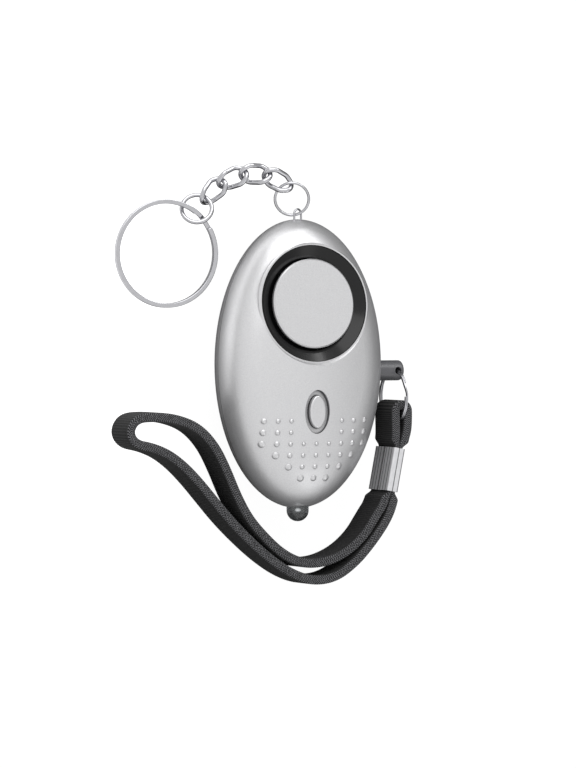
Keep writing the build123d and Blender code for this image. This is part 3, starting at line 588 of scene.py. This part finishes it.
def rounded_outline(width: float, height: float, corner: float, per_corner: int, per_side: int) -> np.ndarray:
    """Outline of a rectangle with round corners, centred on zero: four quarter circles joined by lines.

    Args:
        width: Size along the first direction.
        height: Size along the second.
        corner: Corner radius.
        per_corner: Points on each corner.
        per_side: Points between corners, on each side.

    Returns:
        Points of the outline, one row each.
    """
    turn = np.linspace(0, math.pi / 2, per_corner)
    arc = np.column_stack([np.cos(turn), np.sin(turn)]) * corner
    middle = np.array([width / 2 - corner, height / 2 - corner])
    corners = []
    for quarter, signs in enumerate(((1, 1), (-1, 1), (-1, -1), (1, -1))):
        spin = np.array(Matrix.Rotation(quarter * math.pi / 2, 2))
        corners.append(arc @ spin.T + middle * signs)
    share = np.linspace(0, 1, per_side + 2)[1:-1, None]
    pieces = []
    for here, after in zip(corners, corners[1:] + corners[:1]):
        pieces += [here, here[-1] + (after[0] - here[-1]) * share]
    return np.concatenate(pieces)


@dataclass
class Strap:
    """Flat webbing on edge: the loop that holds the pin's ring, and the wrist loop, caught in the crimp.

    Sizes and routes are in millimetres, and the routes are the CAD part's. The band sinks to the floor away
    from the crimp.
    """

    palette: Palette
    width: float = 8.8
    thickness: float = 2.1
    corner: float = 0.55
    corner_points: int = 6
    side_points: int = 6
    edge_start_share: float = 0.8
    edge_run_share: float = 0.3
    caught: float = 0.86
    caught_run: float = 1.9
    caught_gap: float = 0.01
    tucked: float = 1.2
    step: float = 0.12
    high: float = 8.4
    low: float = 4.5
    high_x: float = 20.0
    low_x: float = 4.0
    rib_pitch: float = 0.48
    rib_depth: float = 0.03
    crimp_top: tuple[float, float] = (23.7, -19.3)
    crimp_heading: float = -101.1

    fold_points = (
        (22.591, -19.082), (22.96, -17.10), (23.00, -15.00), (22.92, -12.60), (22.95, -9.50), (26.05, -9.50),
        (26.10, -12.60), (25.95, -15.30), (25.194, -17.555), (24.809, -19.518),
    )
    wrist_points = (
        (20.715, -28.803), (20.214, -31.354), (18.1, -34.6), (15.6, -38.9), (11.6, -42.7), (6.6, -45.0),
        (1.2, -45.1), (-3.8, -42.8), (-8.2, -39.0), (-12.3, -34.6), (-15.3, -29.3), (-17.8, -23.6),
        (-20.7, -18.2), (-24.8, -14.1), (-30.0, -12.1), (-35.4, -11.5), (-40.2, -11.8), (-42.0, -14.9),
        (-40.3, -17.6), (-36.3, -18.3), (-32.2, -19.9), (-28.4, -22.6), (-24.7, -26.2), (-20.9, -30.5),
        (-16.8, -35.1), (-12.2, -39.5), (-7.3, -43.6), (-2.0, -47.1), (3.6, -49.1), (8.9, -48.5),
        (13.6, -45.0), (17.5, -40.3), (20.7, -35.6), (22.354, -31.876), (22.873, -29.227),
    )

    def control_points(self, flat: tuple[tuple[float, float], ...]) -> np.ndarray:
        """Control points of a route in metres, with the height the band has at each.

        Args:
            flat: Points of the route along the floor.

        Returns:
            Control points, one row each.
        """
        points = np.array(flat)
        height = np.interp(points[:, 0], (self.low_x, self.high_x), (self.low, self.high))
        return np.column_stack([points, height]) * MM

    def band(self, name: str, line: np.ndarray, node: str) -> bpy.types.Object:
        """Sweeps the band's section along a line, with its ends narrowed where the crimp squeezes them.

        The section stands on edge: across is level and square to the line, and the width is upright. Over
        the last stretch at each end the thickness eases to the squeezed one and the band moves towards the
        crimp's middle. Ribs are a small rise and fall of the wide faces along the band.

        Args:
            name: Name of the piece.
            line: Points that the band follows.
            node: CAD node that it stands for.

        Returns:
            The piece.
        """
        turn = math.radians(self.crimp_heading)
        down = np.array([math.cos(turn), math.sin(turn), 0.0])
        top = np.array([*self.crimp_top, self.high]) * MM
        inward = down if node == "ring_loop" else -down
        line = even_points(line, self.step * MM)
        tuck = np.arange(self.tucked * MM, 0, -self.step * MM)[:, None] * inward
        line = np.concatenate([line[0] + tuck, line, line[-1] + tuck[::-1]])
        ahead = np.gradient(line, axis=0)
        ahead[:, 2] = 0.0
        ahead /= np.linalg.norm(ahead, axis=1)[:, None]
        across = np.column_stack([-ahead[:, 1], ahead[:, 0], np.zeros(len(line))])
        reach = reach_along(line)

        from_end = np.minimum(reach, reach[-1] - reach) - self.tucked * MM
        ease = eased(from_end / (self.caught_run * MM))
        thick = self.caught + (self.thickness - self.caught) * ease
        beside = (line - top) - np.outer((line - top) @ down, down)
        beside[:, 2] = 0.0
        offset = np.linalg.norm(beside, axis=1)[:, None]
        wanted = (self.caught / 2 + self.caught_gap) * MM
        line = line - beside / np.maximum(offset, 1e-9) * (offset - wanted) * (1 - ease)[:, None]

        outline = rounded_outline(
            self.thickness, self.width, self.corner, self.corner_points, self.side_points
        )
        edge_start = self.width / 2 - self.corner * self.edge_start_share
        on_edge = np.clip((np.abs(outline[:, 1]) - edge_start) / (self.corner * self.edge_run_share), 0, 1)
        wave = np.sin(2 * math.pi * reach / (self.rib_pitch * MM))
        ribs = 1 + self.rib_depth * np.outer(wave, 1 - on_edge)
        sides = outline[None, :, 0] * (thick / self.thickness)[:, None] * ribs * MM
        ups = np.broadcast_to(outline[:, 1] * MM, sides.shape)
        up = np.array([0.0, 0.0, 1.0])
        points = line[:, None, :] + sides[..., None] * across[:, None, :] + ups[..., None] * up
        faces = tube_faces(len(line), len(outline))
        piece = new_piece(name, points.reshape(-1, 3), faces, self.palette.webbing)
        self.weave_coordinates(piece, reach / MM, outline, on_edge)
        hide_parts(node)
        return piece

    @staticmethod
    def weave_coordinates(
        piece: bpy.types.Object, reach: np.ndarray, outline: np.ndarray, on_edge: np.ndarray
    ) -> None:
        """Stores each point's place along and across the weave, in millimetres, and whether it is on an edge.

        Args:
            piece: The band.
            reach: Distance along the band of each loop.
            outline: Points of the section.
            on_edge: One for points on a narrow edge, zero on a wide face.
        """
        mesh = piece.data
        across = np.where(on_edge > 0.5, outline[:, 0], outline[:, 1])
        flat = np.stack(np.broadcast_arrays(reach[:, None], across[None, :]), axis=-1).reshape(-1, 2)
        corners = np.empty(len(mesh.loops), dtype=np.int32)
        mesh.loops.foreach_get("vertex_index", corners)
        layer = mesh.uv_layers.new(name="weave")
        layer.data.foreach_set("uv", flat[corners].ravel())
        edge = mesh.attributes.new("edge", "FLOAT", "POINT")
        edge.data.foreach_set("value", np.broadcast_to(on_edge, (len(reach), len(outline))).ravel())

    def build(self) -> None:
        line = smooth_line("fold", self.control_points(self.fold_points))
        fold = self.band("ring_loop_band", line, "ring_loop")
        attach(fold, Body.PIN.value)
        line = smooth_line("wrist", self.control_points(self.wrist_points))
        wrist = self.band("wrist_loop_band", line, "wrist_loop")
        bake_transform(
            wrist, Body.CASE.value, Body.PIN.value,
            start=(-0.020, -0.030, 0.0084), end=(0.021, -0.030, 0.0084),
        )
        LOG.info("wrist strap length %.1f mm", reach_along(line)[-1] / MM)


@dataclass
class SplitRing:
    """Ring of flat spring wire wound twice, whose two coils lie on each other and step across once.

    Sizes and places are in millimetres.
    """

    name: str
    node: str
    body: Body
    centre: tuple[float, float, float]
    normal: tuple[float, float, float]
    start: tuple[float, float, float]
    mean_radius: float
    band: float
    height: float
    corner: float
    corner_points: int = 5
    side_points: int = 1
    gap: float = 0.04
    step_turn: float = 26.0
    end_share: float = 0.6
    loops: int = 560

    def build(self, material: bpy.types.Material) -> bpy.types.Object:
        """Sweeps the wire's section along its two coils.

        The turn grows along the wire, the radius is the same all round, and the height over the ring's middle
        eases from the lower coil's to the upper one's about the half-way point. The section is laid outward
        and down, in that order, so that its faces point out of the wire.

        Args:
            material: The wire's material.

        Returns:
            The piece.
        """
        axis = np.array(Vector(self.normal).normalized())
        out = np.array(self.start, dtype=float)
        out -= axis * (out @ axis)
        out /= np.linalg.norm(out)
        side = np.cross(axis, out)
        step = math.radians(self.step_turn)
        turn = np.linspace(step * self.end_share, 4 * math.pi - step * self.end_share, self.loops)
        rise = (eased((turn - (2 * math.pi - step / 2)) / step) - 0.5) * self.height / 2
        outward = np.cos(turn)[:, None] * out + np.sin(turn)[:, None] * side
        line = np.array(self.centre) + outward * self.mean_radius + rise[:, None] * axis
        outline = rounded_outline(
            self.band, self.height / 2 - self.gap, self.corner, self.corner_points, self.side_points
        )
        points = line[:, None, :] + outline[None, :, :1] * outward[:, None, :] - outline[None, :, 1:] * axis
        faces = tube_faces(len(turn), len(outline))
        piece = new_piece(self.name, points.reshape(-1, 3) * MM, faces, material)
        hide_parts(self.node)
        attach(piece, self.body.value)
        return piece


@dataclass
class LampInside:
    """Leadframe seen through the lamp's epoxy: a thin post, and beside it a shorter one with a wide head.

    Sizes and places are in millimetres.
    """

    axis_height: float = 8.4
    foot_y: float = -27.8
    size: float = 0.5
    corner: float = 0.12
    corner_points: int = 4
    side_points: int = 1
    spread: float = 0.75
    post_length: float = 3.4
    anvil_length: float = 3.0
    anvil_width: float = 1.3
    straight: float = 0.9
    head: float = 0.5
    lean_shares: tuple[float, ...] = (1.0, 1.0, 1.0, 0.75, 0.7)

    def leg(self, name: str, side: int, length: float, head_width: float, metal: bpy.types.Material) -> None:
        """Sweeps a square section along one leg, which widens and leans to the middle at its head.

        Args:
            name: Name of the piece.
            side: -1 for the left leg, 1 for the right one.
            length: Its length.
            head_width: Width of its head.
            metal: The leadframe's metal.
        """
        outline = rounded_outline(self.size, self.size, self.corner, self.corner_points, self.side_points)
        reach = np.array([0.0, self.straight, length - self.straight, length - self.head, length])
        grow = np.array([1.0, 1.0, 1.0, head_width / self.size, head_width / self.size])
        shift = np.array(self.lean_shares) * self.spread * side
        centre = np.column_stack([shift, self.foot_y - reach, np.full(len(reach), self.axis_height)])
        points = centre[:, None, :] + outline[None, :, :1] * grow[:, None, None] * np.array([1.0, 0.0, 0.0])
        points = points + outline[None, :, 1:] * np.array([0.0, 0.0, 1.0])
        piece = new_piece(name, points.reshape(-1, 3) * MM, tube_faces(len(reach), len(outline)), metal)
        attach(piece, Body.CASE.value)

    def build(self, metal: bpy.types.Material) -> None:
        """Builds the two legs."""
        self.leg("lamp_post", -1, self.post_length, self.size, metal)
        self.leg("lamp_anvil", 1, self.anvil_length, self.anvil_width, metal)


class Alarm:
    """The alarm: its carried-over CAD nodes with their materials, and its detailed pieces."""

    def __init__(self, palette: Palette) -> None:
        """Keeps the palette."""
        self.palette = palette

    def finish_nodes(self) -> None:
        """Gives every kept CAD node its material."""
        palette = self.palette
        give(palette.shell_paint, "front_shell", "rear_shell")
        give(palette.cap_paint, "siren_cap", "button_cap")
        give(palette.black_gloss, "horn_ring")
        give(palette.black_matte, "sound_chamber", "switch_body", "switch_plunger")
        give(palette.black_matte, "control_chip", "pin_socket")
        give(palette.pin_grey, "pull_pin")
        give(palette.crimp_steel, "crimp")
        give(palette.nickel, "eyelet", "top_ring", "jump_ring")
        give(palette.nickel, *[f"chain_link_{number + 1}" for number in range(LINKS)])
        give(palette.cell_steel, *[f"button_cell_{number + 1}" for number in range(CELLS)])
        give(palette.spring_steel, "positive_contact", "negative_contact", "switch_leaves")
        give(palette.screw_steel, "case_screws")
        give(palette.brass, "piezo_plate")
        give(palette.ceramic, "piezo_ceramic")
        give(palette.board, "circuit_board")
        give(palette.copper, "driver_coil")
        give(palette.sleeve, "siren_wires", "led_wires")
        give(palette.lens, "led_lamp")

    def build_rings(self) -> None:
        """Makes the two split rings."""
        SplitRing(
            "pin_split_ring", "pin_ring", Body.PIN_RING, (24.5, -7.679, 8.4), (1, 0, 0), (0, 0.3, 1),
            mean_radius=6.15, band=0.7, height=0.7, corner=0.12, gap=0.03,
        ).build(self.palette.nickel)
        SplitRing(
            "key_split_ring", "key_ring", Body.KEY_RING, (-29.805, 24.802, 2.2078), (-0.104528, 0, 0.994522),
            (0.75, 0.66, 0), mean_radius=11.63, band=1.04, height=1.4, corner=0.2, step_turn=20.0,
        ).build(self.palette.nickel)

    def build(self) -> None:
        """Finishes the nodes and makes the pieces."""
        self.finish_nodes()
        self.build_rings()
        LampInside().build(self.palette.spring_steel)


@dataclass(frozen=True)
class SoftBox:
    """A soft light box that faces the object: its middle and its size in metres, and its power in watts."""

    name: str
    place: tuple[float, float, float]
    size: tuple[float, float]
    power: float
    aim: tuple[float, float, float] = (0, 0, 0.008)

    def build(self) -> None:
        """Adds the box."""
        data = bpy.data.lights.new(self.name, "AREA")
        data.shape = "RECTANGLE"
        data.size, data.size_y = self.size
        data.energy = self.power
        holder = bpy.data.objects.new(self.name, data)
        toward = Vector(self.aim) - Vector(self.place)
        turn = toward.to_track_quat("-Z", "Y").to_matrix().to_4x4()
        holder.matrix_world = Matrix.Translation(self.place) @ turn
        bpy.context.scene.collection.objects.link(holder)


@dataclass
class Studio:
    """Camera, light boxes and a ground that only the camera sees as white.

    The photograph's frame is in pixels. Places and reaches on the ground are in millimetres. The sky's own
    values are heights and sides of a direction, from -1 to 1, and strengths.
    """

    width: int = 576
    height: int = 768
    pixels_per_mm: float = 4.44
    middle_x: float = 297.6
    middle_y: float = 363.7
    middle_height: float = 8.4
    distance: float = 1.2
    sensor: float = 36.0
    far: float = 20.0
    right: tuple[float, float, float] = (0.8912, 0.0, 0.4535)
    up: tuple[float, float, float] = (0.0109, 0.9997, -0.0214)

    dim_below: float = -0.10
    bright_above: float = 0.34
    dim: float = 0.05
    bright: float = 1.1
    shade_from: float = 0.38
    shade_to: float = 1.0
    shade: float = 0.36

    floor_half: float = 2.0
    floor_drop: float = 0.0004
    floor_tone: str = "484848"
    floor_roughness: float = 0.9
    white: str = "ffffff"
    glow: float = 0.965
    oval: float = 0.62
    pale: float = 1.15
    pale_reach: tuple[float, float] = (23.0, 46.0)
    pale_back: tuple[float, float] = (-34.0, 12.0)
    pale_left: tuple[float, float] = (12.0, -4.0)
    lamp_highlight_spot: tuple[float, float, float] = (4.4, -35.3, -0.4)
    lamp_highlight_reach: tuple[float, float] = (1.9, 2.5)

    boxes: tuple[SoftBox, ...] = (
        SoftBox("key_box", (-0.30, 0.85, 0.95), (0.9, 0.8), 3.2),
        SoftBox("top_box", (0.54, 0.80, 0.70), (0.35, 0.35), 1.4),
        SoftBox("low_box", (0.54, -0.82, 0.70), (0.60, 0.60), 0.5),
        SoftBox("end_box", (0.0, 1.15, 0.35), (1.2, 0.6), 3.4),
    )

    def camera(self) -> None:
        """Places a long lens that keeps the photograph's scale at the case's middle."""
        right, up = Vector(self.right).normalized(), Vector(self.up)
        back = right.cross(up).normalized()
        up = back.cross(right)
        target = Vector((0, 0, self.middle_height))
        target += right * ((self.width / 2 - self.middle_x) / self.pixels_per_mm)
        target -= up * ((self.height / 2 - self.middle_y) / self.pixels_per_mm)
        lens = bpy.data.cameras.new("camera")
        lens.sensor_width = self.sensor
        lens.lens = self.distance / MM * self.pixels_per_mm / self.height * self.sensor
        lens.clip_end = self.far
        eye = bpy.data.objects.new("camera", lens)
        turn = Matrix((right, up, back)).transposed().to_4x4()
        eye.matrix_world = Matrix.Translation(target * MM + back * self.distance) @ turn
        bpy.context.scene.collection.objects.link(eye)
        bpy.context.scene.camera = eye

    def sky(self) -> None:
        """Makes a sky that is bright above, dark below, dimmer on the right, and plain to the camera."""
        world = bpy.data.worlds.new("studio")
        world.use_nodes = True
        bpy.context.scene.world = world
        add = NodeTree(world.node_tree).add
        toward = add("SeparateXYZ", add("TexCoord").outputs["Generated"])
        above = add(
            "MapRange", toward.outputs["Z"], self.dim_below, self.bright_above, self.dim, self.bright,
            interpolation_type="SMOOTHSTEP",
        )
        beside = add(
            "MapRange", toward.outputs["X"], self.shade_from, self.shade_to, 1.0, self.shade,
            interpolation_type="SMOOTHSTEP",
        )
        light = add("Background", Strength=add("Math", above, beside, operation="MULTIPLY"))
        seen = add("LightPath").outputs["Is Camera Ray"]
        add("OutputWorld", add("MixShader", seen, light, add("Background")))

    def ground(self) -> None:
        """Lays a flat square ground that is white to the camera but for a faint contact shadow.

        To other rays it is grey, growing pale away from the object on its left and back sides. A small spot
        behind the lamp is white to rays through the lamp's epoxy too, as a painted highlight inside the lamp.
        """
        shader = Shader("studio_ground")
        add = shader.add
        white = linear_colour(self.white)
        flattened = add("VectorMath", shader.place, (1.0, self.oval, 0.0), operation="MULTIPLY")
        away = add("VectorMath", flattened, operation="LENGTH")
        flat = add("SeparateXYZ", shader.place)
        pale = add("MapRange", away, *self.pale_reach, 0.0, self.pale)
        pale = add("Math", pale, add("MapRange", flat.outputs["Y"], *self.pale_back), operation="MULTIPLY")
        pale = add("Math", pale, add("MapRange", flat.outputs["X"], *self.pale_left), operation="MULTIPLY")
        surface = add(
            "BsdfPrincipled", Base_Color=linear_colour(self.floor_tone), Roughness=self.floor_roughness,
            Emission_Color=white, Emission_Strength=pale,
        )
        path = add("LightPath")
        # Painted highlight: the lamp's epoxy shows a white patch where its rays reach this spot on the
        # ground.
        from_spot = add("VectorMath", shader.place, self.lamp_highlight_spot, operation="DISTANCE")
        spot = add("MapRange", from_spot, *self.lamp_highlight_reach, 1.0, 0.0)
        through = add("Math", path.outputs["Is Transmission Ray"], spot, operation="MULTIPLY")
        seen = add("Math", path.outputs["Is Camera Ray"], through, operation="MAXIMUM")
        glowing = add("AddShader", surface, add("Emission", white, self.glow))
        add("OutputMaterial", add("MixShader", seen, surface, glowing))
        half, low = self.floor_half, -self.floor_drop
        points = np.array([(-half, -half, low), (half, -half, low), (half, half, low), (-half, half, low)])
        floor = new_piece("studio_floor", points, [[0, 1, 2, 3]], shader.material)

    def build(self) -> None:
        """Makes the sky, the ground and the light boxes, and sets the plain view transform."""
        self.sky()
        self.ground()
        for box in self.boxes:
            box.build()
        bpy.context.scene.view_settings.view_transform = "Standard"


def main() -> None:
    """Builds the camera, the finishes and the strap first, then the other pieces and the studio."""
    logging.basicConfig(level=logging.INFO, format="%(message)s")
    studio = Studio()
    studio.camera()
    palette = Palette()
    Strap(palette).build()
    Alarm(palette).build()
    studio.build()


if __name__ == "__main__":
    main()
